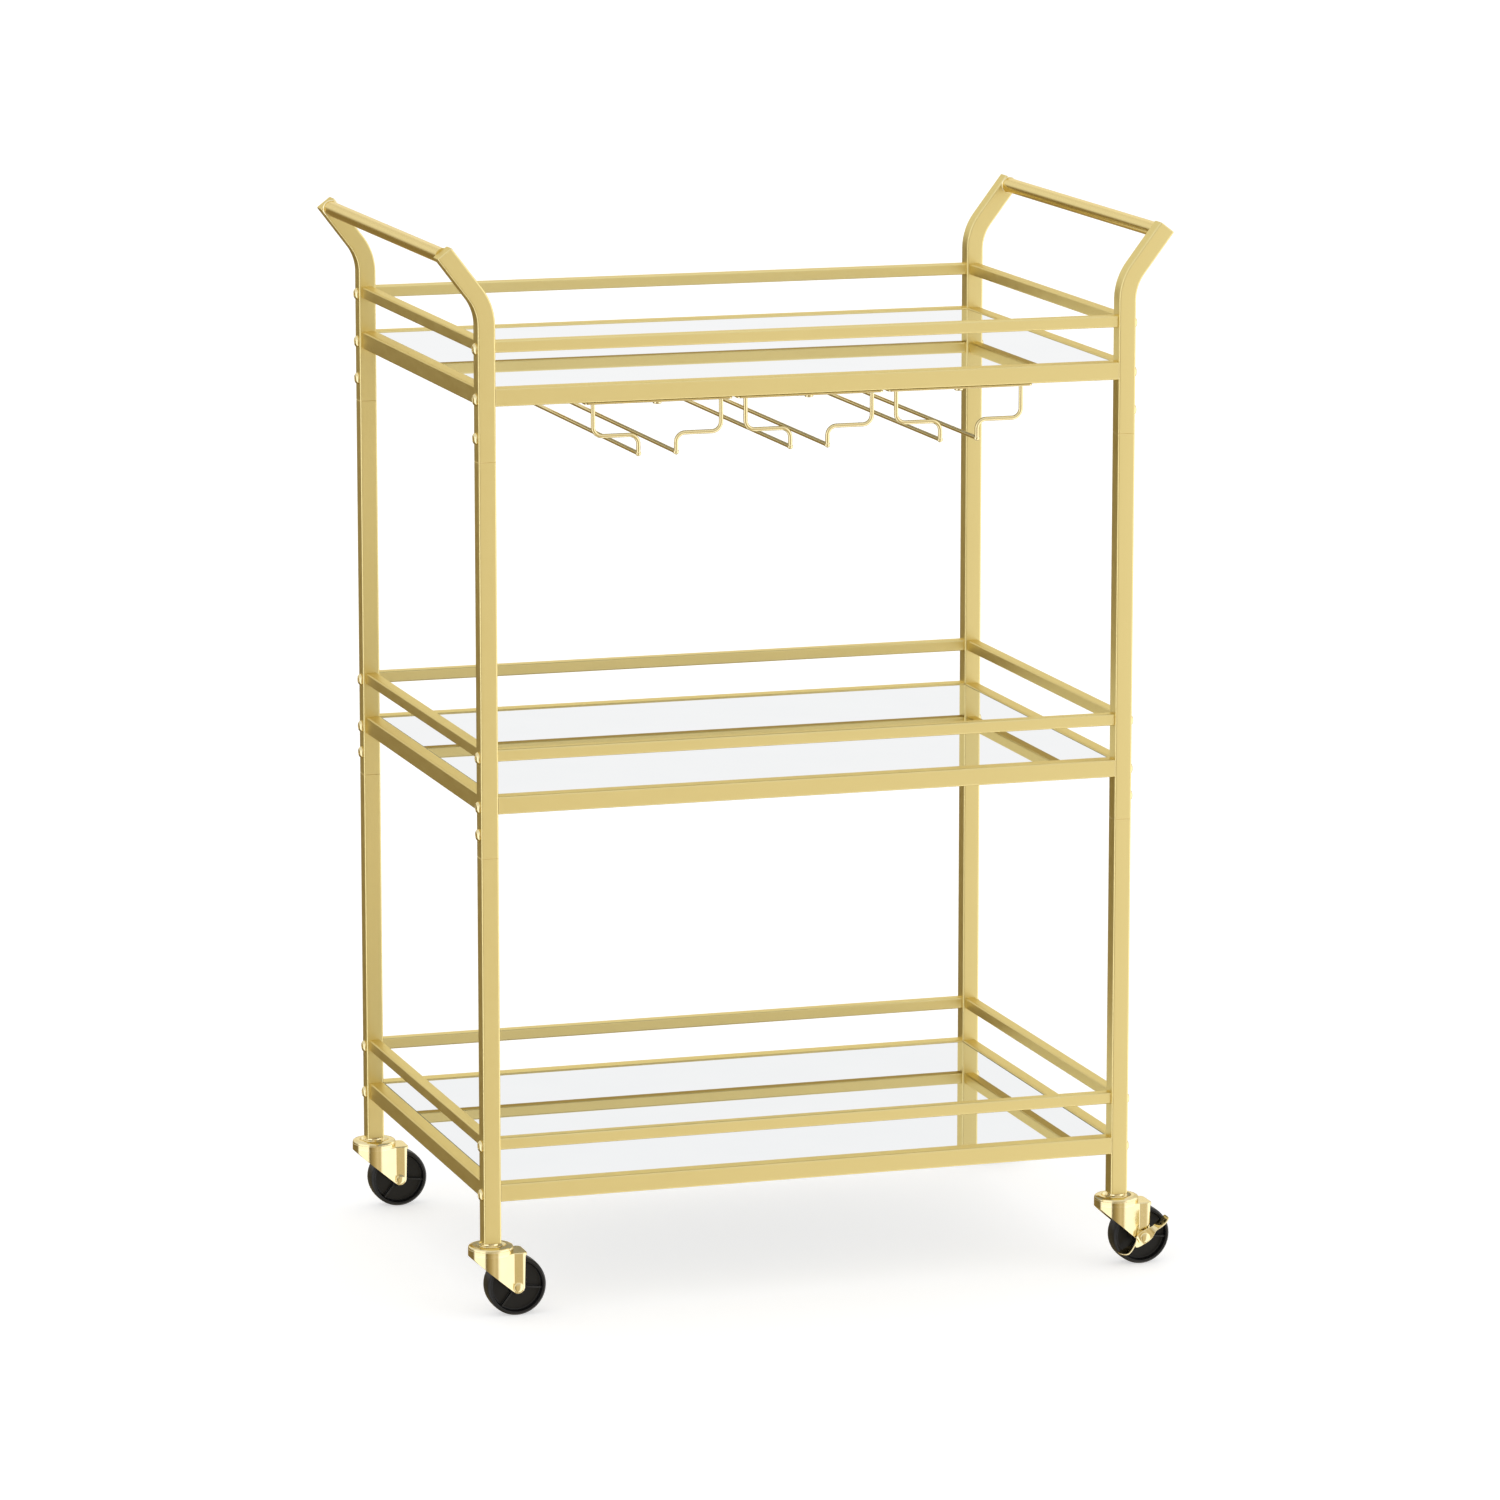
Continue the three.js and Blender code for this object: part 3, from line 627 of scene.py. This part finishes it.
# ================================================================ stemware racks
# Rounding of a wire's end: share of its radius, and distance from the end.
WIRE_END = [(0.3, 0), (0.75, 0.25), (0.95, 0.7)]
HANGER_FULL = 1.2           # where a hanger reaches its full radius
RUNNER_FULL = 1.3           # where a long wire does
PLATE_WELD = (2.6, 2.6, 0.9)
WIRE_WELD = (2.35, 2.1, 2.35)


def wire_section(radius, count=18):
    return [Vector((p.x, p.y)) for p in round_ring(radius, 0, count)]


def add_wire(solid, stations, radius, y=0.0):
    """A round wire with softly rounded ends."""
    def ring(station, r, slide=0.0):
        return [p + Vector((0, y, 0)) for p in section_at(station, wire_section(r), slide)]

    start, end = stations[0], stations[-1]
    rings = [ring(start, radius * share, slide) for share, slide in WIRE_END]
    rings.append(ring(start, radius, HANGER_FULL))
    rings += [ring(station, radius) for station in stations[1:-1]]
    rings.append(ring(end, radius, -HANGER_FULL))
    rings += [ring(end, radius * share, -slide) for share, slide in reversed(WIRE_END)]
    solid.loft(rings)


def add_runner(solid, x, z, reach, radius):
    """A long straight wire along Y with rounded ends."""
    ends = WIRE_END + [(1, RUNNER_FULL)]
    spots = [(radius * share, -reach + slide) for share, slide in ends]
    spots += [(radius * share, reach - slide) for share, slide in reversed(ends)]
    solid.loft([[Vector((x + p.x, y, z + p.y)) for p in wire_section(r)] for r, y in spots])


def add_weld(solid, at, size, seed):
    """A small uneven weld bead."""
    bm = bmesh.new()
    bmesh.ops.create_icosphere(bm, subdivisions=3, radius=1)
    for v in bm.verts:
        v.co *= 1 + 0.12 * noise.noise(v.co * 1.7 + Vector((seed, 0, 0)))
    points = [Vector((v.co.x * size[0], v.co.y * size[1], v.co.z * size[2])) + Vector(at) for v in bm.verts]
    faces = [[v.index for v in f.verts] for f in bm.faces]
    bm.free()
    solid.add(points, faces)


def glass_rack(plate_length, plate_width, plate_top, end_y):
    """Two plates, four cranked hangers and two long wires, drawn with the rail underside at zero."""
    solid = Solid()
    plate = rounded(rectangle(plate_length, plate_width), RACK_PLATE_CORNER, 6)
    reach = end_y + RACK_WIRE_RADIUS
    for end in (-1, 1):
        y = end * end_y
        rings = []
        for inset, z in bevelled(RACK_PLATE_THICKNESS):
            shrink_x, shrink_y = 1 - 2 * inset / plate_length, 1 - 2 * inset / plate_width
            rings.append([Vector((p.x * shrink_x, y + p.y * shrink_y, plate_top + z)) for p in plate])
        solid.loft(rings)
        for side in (-1, 1):
            run = rounded_run([
                (side * RACK_OUTER_X, plate_top - 0.5),
                (side * RACK_OUTER_X, -RACK_STEP_DROP),
                (side * RACK_INNER_X, -RACK_STEP_DROP),
                (side * RACK_INNER_X, -RACK_WIRE_DROP),
            ], RACK_BEND_RADIUS, 10)
            add_wire(solid, run, RACK_WIRE_RADIUS, y)
            plate_foot = (side * RACK_OUTER_X, y, plate_top - RACK_PLATE_THICKNESS)
            add_weld(solid, plate_foot, PLATE_WELD, 3 * side + end)
            add_weld(solid, (side * RACK_INNER_X, y, -RACK_WIRE_DROP), WIRE_WELD, 5 * side + end)
    for side in (-1, 1):
        add_runner(solid, side * RACK_INNER_X, -RACK_WIRE_DROP, reach, RACK_WIRE_RADIUS)
    return solid


rail_low, rail_high = box_mm("shelf_rail_top_back")
rack_end_y = rail_high.y - (rail_high.y - rail_low.y - LEDGE_WIDTH) / 2
rack_low, rack_high = box_mm("glass_rack_middle")
plate_top = rack_high.z - rail_low.z
rack = glass_rack(rack_high.x - rack_low.x, RACK_PLATE_WIDTH, plate_top, rack_end_y)
rack_mesh = rack.mesh("glass_rack", [WIRE])
for name in ("left", "middle", "right"):
    node = f"glass_rack_{name}"
    low, high = box_mm(node)
    x = (low.x + high.x) / 2
    piece(f"{node}_wires", rack_mesh, "frame", (x, 0, rail_low.z), replaces=[node])
    for end_name, end in ENDS.items():
        at = (x, end * rack_end_y, rack_high.z - RACK_PLATE_THICKNESS)
        piece(f"screw_rack_{name}_{end_name}", screw_mesh, "frame", at, DOWN)


# ================================================================ casters
def closed_lathe(points, radii, steps=4):
    return [(p.x, p.y) for p in rounded(points, radii, steps)]


def fork_plan():
    """Plan outline of the fork as (x, y) points: round head, flared flanks, flat legs, rounded end."""
    half = FORK_HALF_WIDTH
    touch = math.atan2(half, FORK_CREASE_X) + math.acos(FORK_RADIUS / math.hypot(FORK_CREASE_X, half))
    head_steps = 44
    head = []
    for k in range(head_steps + 1):
        a = touch + (2 * math.pi - 2 * touch) * k / head_steps
        head.append((FORK_RADIUS * math.cos(a), FORK_RADIUS * math.sin(a)))
    corners = [(FORK_END_X, -half), (FORK_END_X, half), (FORK_CREASE_X, half), *head, (FORK_CREASE_X, -half)]
    radii = [4.6, 4.6, 1.4] + [0] * len(head) + [1.4]
    outline = rounded(corners, radii, 8)
    dense = []
    for i, p in enumerate(outline):
        q = outline[(i + 1) % len(outline)]
        parts = max(1, round((q - p).length / 1.1))
        dense += [p.lerp(q, k / parts) for k in range(parts)]
    return dense


def leg_underside(x):
    """Height of the fork's lower edge at x: the slanted flank, the round leg end, then the short back lip."""
    rim, axle = Vector((-FORK_RADIUS, FORK_RIM_Z)), Vector((TRAIL, AXLE_Z))
    to_rim = rim - axle
    touch = math.atan2(to_rim.y, to_rim.x) + math.acos(LEG_RADIUS / to_rim.length)
    touch_point = axle + Vector((math.cos(touch), math.sin(touch))) * LEG_RADIUS
    if x <= touch_point.x:
        t = (x - rim.x) / (touch_point.x - rim.x)
        return rim.lerp(touch_point, max(t, 0)).y
    if x <= TRAIL + LEG_RADIUS:
        return AXLE_Z - math.sqrt(max(LEG_RADIUS ** 2 - (x - TRAIL) ** 2, 0))
    return FORK_TOP_Z - FORK_SHEET - 1.2


def add_fork_shell(solid):
    """The pressed sheet of the fork: a top plate whose edge rolls over into the walls."""
    plan = fork_plan()
    count = len(plan)
    inward = []
    for i in range(count):
        along = plan[(i + 1) % count] - plan[i - 1]
        inward.append(unit(Vector((-along.y, along.x))))
    roll_steps, wall_rows = 5, 10
    rows = [[] for _ in range(roll_steps + wall_rows + 7)]
    for p, n in zip(plan, inward):
        bottom = leg_underside(p.x)
        clear_of_head = min(max((p.x - FORK_ROLL_START) / FORK_ROLL_RUN, 0), 1)
        roll = FORK_ROLL[0] + (FORK_ROLL[1] - FORK_ROLL[0]) * clear_of_head
        wall_top = FORK_TOP_Z - roll
        column = [(FORK_PLATE_INSET, FORK_TOP_Z)]
        for k in range(roll_steps + 1):
            a = math.pi / 2 * k / roll_steps
            column.append((roll * (1 - math.sin(a)), wall_top + roll * math.cos(a)))
        for k in range(1, wall_rows + 1):
            column.append((0, wall_top + (bottom + FORK_LIP - wall_top) * k / wall_rows))
        column += [(FORK_LIP, bottom), (FORK_SHEET - FORK_LIP, bottom), (FORK_SHEET, bottom + FORK_LIP)]
        column += [(FORK_SHEET, FORK_TOP_Z - FORK_SHEET), (FORK_PLATE_INSET, FORK_TOP_Z - FORK_SHEET)]
        for row, (inset, z) in zip(rows, column):
            row.append(Vector((p.x + n.x * inset, p.y + n.y * inset, z)))
    solid.loft(rows)


def add_rivet(solid, reach, end, radius, height):
    """A domed rivet head on the axle line, facing the front (-1) or the back (1)."""
    profile = [(0, -0.4), (radius - 0.1, -0.4), (radius, 0), (radius, height * 0.3)]
    for k in range(1, 9):
        a = math.pi / 2 * k / 8
        profile.append((radius * math.cos(a), height * (0.3 + 0.7 * math.sin(a))))
    flipped = [(r, end * (reach + z)) for r, z in profile]
    solid.lathe(flipped, 40, "Y", (TRAIL, 0, AXLE_Z))


def add_axle_pin(solid, low_y, high_y):
    """A plain round pin on the axle line."""
    profile = [(0, low_y), (AXLE_RADIUS, low_y), (AXLE_RADIUS, high_y), (0, high_y)]
    solid.lathe(profile, 32, "Y", (TRAIL, 0, AXLE_Z))


def caster_fork(braked):
    """Pressed fork with the raised ring on its head, the axle and the axle's rivet heads."""
    solid = Solid()
    add_fork_shell(solid)
    r = FORK_RADIUS
    wall = [(17, FORK_TOP_Z - 1), (r, FORK_TOP_Z - 1), (r, HEAD_SEAM_Z), (17, HEAD_SEAM_Z)]
    solid.lathe(closed_lathe(wall, [0, 0, 0.35, 0], 4), 96)
    head = [(4.6, 56.4), (11.2, 56.4), (14, 58.9), (17, 57.4), (17, HEAD_SEAM_Z), (r + 0.05, HEAD_SEAM_Z)]
    head += [(r - 0.4, HEAD_CREST_Z - 0.9), (15.4, HEAD_CREST_Z), (12.9, HEAD_CREST_Z)]
    head += [(11.2, 58.4), (4.6, 58.4)]
    radii = [0, 0.6, 0.6, 0.3, 0, 0.4, 1.5, 2.4, 1.0, 0.8, 0.3]
    solid.lathe(closed_lathe(head, radii, 6), 96)
    add_axle_pin(solid, -FORK_HALF_WIDTH - 0.2, FORK_HALF_WIDTH)
    add_rivet(solid, FORK_HALF_WIDTH, 1, 4.2, 1.8)
    if braked:
        reach = FORK_HALF_WIDTH + 4.1
        add_axle_pin(solid, -reach, -FORK_HALF_WIDTH)
        spacer = [(3.2, -14.4), (5, -14.4), (5, -12.6), (3.2, -12.6)]
        solid.lathe(spacer, 32, "Y", (TRAIL, 0, AXLE_Z))
        add_rivet(solid, reach, -1, 4.4, 2.0)
    else:
        add_rivet(solid, FORK_HALF_WIDTH, -1, 4.2, 1.8)
    return solid


def caster_stem(foot_z, flange_low, post_foot, top_z):
    """Kingpin with its riveted foot, the round flange under the post and the plug inside it."""
    solid = Solid()
    pin = [(0, foot_z), (6.2, foot_z), (7, foot_z + 0.6), (7, foot_z + 1.5), (4, foot_z + 1.5)]
    pin += [(4, top_z - 1), (0, top_z)]
    solid.lathe(pin, 40)
    flange_top = flange_low + 2.1
    flange = [(0, flange_low), (9.9, flange_low), (9.9, flange_top), (7.6, flange_top)]
    flange += [(7.4, post_foot - 0.1), (0, post_foot - 0.1)]
    solid.lathe(closed_lathe(flange, [0, 0.4, 0.7, 0.5, 0.3, 0], 4), 64)
    plug = [(0, post_foot + 0.2), (5.6, post_foot + 0.2), (6, post_foot + 1), (6, top_z - 2)]
    plug += [(5.4, top_z), (0, top_z)]
    solid.lathe(plug, 32)
    return solid


def caster_wheel(radius, half_width):
    """Wheel with hub, recessed web, stiffening ribs, rim and a rounded tread with its mould line."""
    solid = Solid()
    near = [(3.4, -half_width), (7, -half_width), (7.8, -WEB_HALF), (WEB_RADIUS, -WEB_HALF)]
    near += [(22, -9.5), (23.5, -9.7)]
    near += [(radius - 0.3, -7.6), (radius, -4.2), (radius, -0.25), (radius + 0.08, 0)]
    near_radii = [0.3, 0.9, 1.2, 1.5, 0.35, 0.7, 1.2, 2.0, 0, 0]
    far = [(r, -y) for r, y in reversed(near[:-1])]
    radii = near_radii + near_radii[:-1][::-1]
    solid.lathe(closed_lathe(near + far, radii, 4), 96, "Y")
    rib_half, rib_face = 0.6, 7.6
    for face in (-1, 1):
        for k in range(3):
            a = math.radians(8 + 120 * k)
            out = Vector((math.cos(a), 0, face * math.sin(a)))
            across = Vector((-out.z, 0, out.x))
            outline = rounded([(6.2, 4), (21.8, 4), (21.7, rib_face), (7.2, rib_face)], [0, 0, 0.8, 0.8], 3)
            rings = []
            for w in (-rib_half, rib_half):
                rings.append([out * p.x + Vector((0, face * p.y, 0)) + across * w for p in outline])
            solid.loft(rings)
    return solid


# Each row: distance along the lever, then height and reach of its upper and of its lower edge.
LEVER_ROWS = [
    (-26, (0.8, 20.5), (0.2, 10.9)),
    (-21, (-2.6, 20.5), (-0.4, 10.9)),
    (-16, (-1.8, 20.2), (-0.8, 11.8)),
    (-11, (0.8, 18.8), (-3.4, 15.6)),
    (-8, (3.2, 17.9), (-4.5, 16.2)),
    (-5.5, (4.6, 15.5), (-5.2, 15.5)),
    (0, (5.5, 15.5), (-5.6, 15.5)),
    (5.5, (5, 15.5), (-4.8, 15.5)),
    (11, (3.7, 14.4), (-0.6, 18.2)),
    (16, (3.4, 12), (0.5, 20)),
    (21, (3.7, 10.9), (1.3, 20.5)),
    (26, (4.4, 10.9), (3.4, 20.5)),
]


def smooth_rows(rows, parts):
    """Points between the lever's rows on a smooth curve through them."""
    def mix(a, b, c, d, t):
        square, cube = 2 * a - 5 * b + 4 * c - d, 3 * b - a - 3 * c + d
        return 0.5 * (2 * b + (c - a) * t + square * t * t + cube * t ** 3)

    flat = [[u, *upper, *lower] for u, upper, lower in rows]
    padded = [flat[0]] + flat + [flat[-1]]
    dense = []
    for i in range(len(flat) - 1):
        a, b, c, d = padded[i:i + 4]
        dense += [[mix(*values, k / parts) for values in zip(a, b, c, d)] for k in range(parts)]
    return dense + [flat[-1]]


def brake_lever():
    """Pressed strip: flat round the axle and twisted into a foot pedal at each end."""
    along = Vector((math.cos(LEVER_TILT), 0, math.sin(LEVER_TILT)))
    up = Vector((-math.sin(LEVER_TILT), 0, math.cos(LEVER_TILT)))
    rows = smooth_rows(LEVER_ROWS, 5)
    half_length = LEVER_ROWS[-1][0]
    tip_corner = 3.0
    rings = []
    for u, upper_height, upper_reach, lower_height, lower_reach in rows:
        a = along * u + up * upper_height - Vector((0, upper_reach, 0))
        b = along * u + up * lower_height - Vector((0, lower_reach, 0))
        middle, arm = (a + b) / 2, (a - b) / 2
        from_tip = half_length - abs(u)
        if from_tip < tip_corner:
            arm *= 1 - 0.3 * (1 - math.sqrt(max(1 - (1 - from_tip / tip_corner) ** 2, 0)))
        n = unit(arm.cross(along)) * (LEVER_SHEET / 2)
        flat = n * 0.45     # what stays flat of the strip's edge between its two broken corners
        edge = unit(arm) * 0.4
        rings.append([
            middle + arm - edge + n, middle + arm + flat,
            middle + arm - flat, middle + arm - edge - n,
            middle - arm + edge - n, middle - arm - flat,
            middle - arm + flat, middle - arm + edge + n,
        ])
    return Solid().loft(rings)


fork_meshes = {
    False: caster_fork(False).mesh("caster_fork", [POLISHED], 50),
    True: caster_fork(True).mesh("caster_fork_braked", [POLISHED], 50),
}
stem_low, stem_high = box_mm("caster_stem_front_left")
post_foot = box_mm("post_lower_front_left")[0].z
stem = caster_stem(stem_low.z, STEM_FLANGE_Z, post_foot - 0.1, stem_high.z)
stem_mesh = stem.mesh("caster_stem", [POLISHED])
wheel_low, wheel_high = box_mm("caster_wheel_front_left")
wheel_size = wheel_high - wheel_low
wheel_mesh = caster_wheel(wheel_size.z / 2, wheel_size.y / 2).mesh("caster_wheel", [PLASTIC])
lever_mesh = brake_lever().mesh("brake_lever", [POLISHED], 60)

for side_name, side in SIDES.items():
    for end_name in ENDS:
        corner = f"{end_name}_{side_name}"
        low, high = box_mm(f"caster_stem_{corner}")
        x, y = (low.x + high.x) / 2, (low.y + high.y) / 2
        braked = side_name == "right"
        piece(f"caster_stem_{corner}_pin", stem_mesh, "frame",
              (x, y, 0), None, [f"caster_stem_{corner}"])
        piece(f"caster_fork_{corner}_pressing", fork_meshes[braked], f"swivel_{corner}",
              (x, y, 0), None, [f"caster_fork_{corner}"])
        axle = (x + TRAIL, y, AXLE_Z)
        piece(f"caster_wheel_{corner}_moulding", wheel_mesh, f"wheel_{corner}",
              axle, None, [f"caster_wheel_{corner}"])
        if braked:
            piece(f"brake_lever_{corner}_strip", lever_mesh, f"brake_{corner}",
                  axle, None, [f"brake_lever_{corner}"])


# ================================================================ floor, light and camera
def studio_floor():
    mesh = bpy.data.meshes.new("studio_floor")
    half = 14.0             # metres
    corners = [(-half, -half, 0), (half, -half, 0), (half, half, 0), (-half, half, 0)]
    mesh.from_pydata(corners, [], [(0, 1, 2, 3)])
    mesh.materials.append(floor_panel())
    obj = bpy.data.objects.new("studio_floor", mesh)
    obj.visible_glossy = False
    bpy.context.scene.collection.objects.link(obj)


# The studio's light by direction, as (degrees clockwise from the front, brightness, warmth).
BELOW = [(-180, 0.26, 1), (-155, 0.22, 1), (-112, 0.2, 1), (-102, 1.35, 0), (-45, 1.4, 0), (-39, 0.18, 1)]
BELOW += [(-14, 0.46, 0.9), (4, 0.72, 0.6), (20, 0.62, 0.7), (27, 1.25, 0), (36, 1.5, 0), (105, 1.4, 0)]
BELOW += [(135, 0.7, 0.3), (165, 0.42, 0.8), (180, 0.26, 1)]
ABOVE = [(-180, 0.75, 0.1), (-168, 0.9, 0), (-112, 0.8, 0), (-102, 1.3, 0), (-45, 1.3, 0), (-38, 0.66, 0.2)]
ABOVE += [(-12, 0.66, 0.3), (24, 0.74, 0.3), (44, 1.5, 0), (105, 1.4, 0), (128, 0.7, 0.2), (150, 0.75, 0.1)]
ABOVE += [(158, 0.97, 0), (172, 0.97, 0), (180, 0.75, 0.1)]
OVERHEAD = 0.9
WARM_DARK = (1.08, 0.84, 0.4)


def studio_world():
    """A soft studio: broad bright panels to the right and to the front left, dimmer gaps, bright overhead."""
    world = bpy.data.worlds.new("studio")
    world.use_nodes = True
    tree = world.node_tree

    def node(kind, **values):
        made = tree.nodes.new(kind)
        for key, value in values.items():
            setattr(made, key, value)
        return made

    place = node("ShaderNodeSeparateXYZ")
    tree.links.new(node("ShaderNodeTexCoord").outputs["Generated"], place.inputs[0])
    front = node("ShaderNodeMath", operation="MULTIPLY")
    front.inputs[1].default_value = -1
    tree.links.new(place.outputs["Y"], front.inputs[0])
    angle = node("ShaderNodeMath", operation="ARCTAN2")
    tree.links.new(place.outputs["X"], angle.inputs[0])
    tree.links.new(front.outputs[0], angle.inputs[1])

    def between(value, low, high, smooth=True):
        made = node("ShaderNodeMapRange", interpolation_type="SMOOTHSTEP" if smooth else "LINEAR")
        made.inputs["From Min"].default_value = low
        made.inputs["From Max"].default_value = high
        tree.links.new(value, made.inputs["Value"])
        return made.outputs["Result"]

    turn = between(angle.outputs[0], -math.pi, math.pi, smooth=False)

    def ring(stops):
        made = node("ShaderNodeValToRGB")
        ramp = made.color_ramp
        while len(ramp.elements) < len(stops):
            ramp.elements.new(0.5)
        for element, (degrees, brightness, warmth) in zip(ramp.elements, stops):
            element.position = (degrees + 180) / 360
            colour = [brightness * (1 + (tint - 1) * warmth) for tint in WARM_DARK]
            element.color = (*colour, 1)
        tree.links.new(turn, made.inputs[0])
        return made.outputs[0]

    def blend(factor, first, second):
        made = node("ShaderNodeMix", data_type="RGBA")
        tree.links.new(factor, made.inputs[0])
        tree.links.new(first, made.inputs[6])
        if isinstance(second, float):
            made.inputs[7].default_value = (second, second, second, 1)
        else:
            tree.links.new(second, made.inputs[7])
        return made.outputs[2]

    band = blend(between(place.outputs["Z"], -0.08, 0.12), ring(BELOW), ring(ABOVE))
    sky = blend(between(place.outputs["Z"], 0.25, 0.7), band, OVERHEAD)
    tree.links.new(sky, tree.nodes["Background"].inputs["Color"])
    bpy.context.scene.world = world


def photo_camera():
    """Camera in front of the cart and to its left, slightly above its top shelf."""
    data = bpy.data.cameras.new("camera")
    data.sensor_width = 36
    data.lens = 170.0
    data.clip_end = 60
    camera = bpy.data.objects.new("camera", data)
    camera.location = (-1.804, -5.718, 1.567)
    yaw, pitch = math.radians(17.6), math.radians(10.74)
    forward = Vector((math.sin(yaw) * math.cos(pitch), math.cos(yaw) * math.cos(pitch), -math.sin(pitch)))
    camera.rotation_euler = forward.to_track_quat("-Z", "Y").to_euler()
    bpy.context.scene.collection.objects.link(camera)
    bpy.context.scene.camera = camera


studio_floor()
studio_world()
photo_camera()
bpy.context.scene.view_settings.view_transform = "Standard"
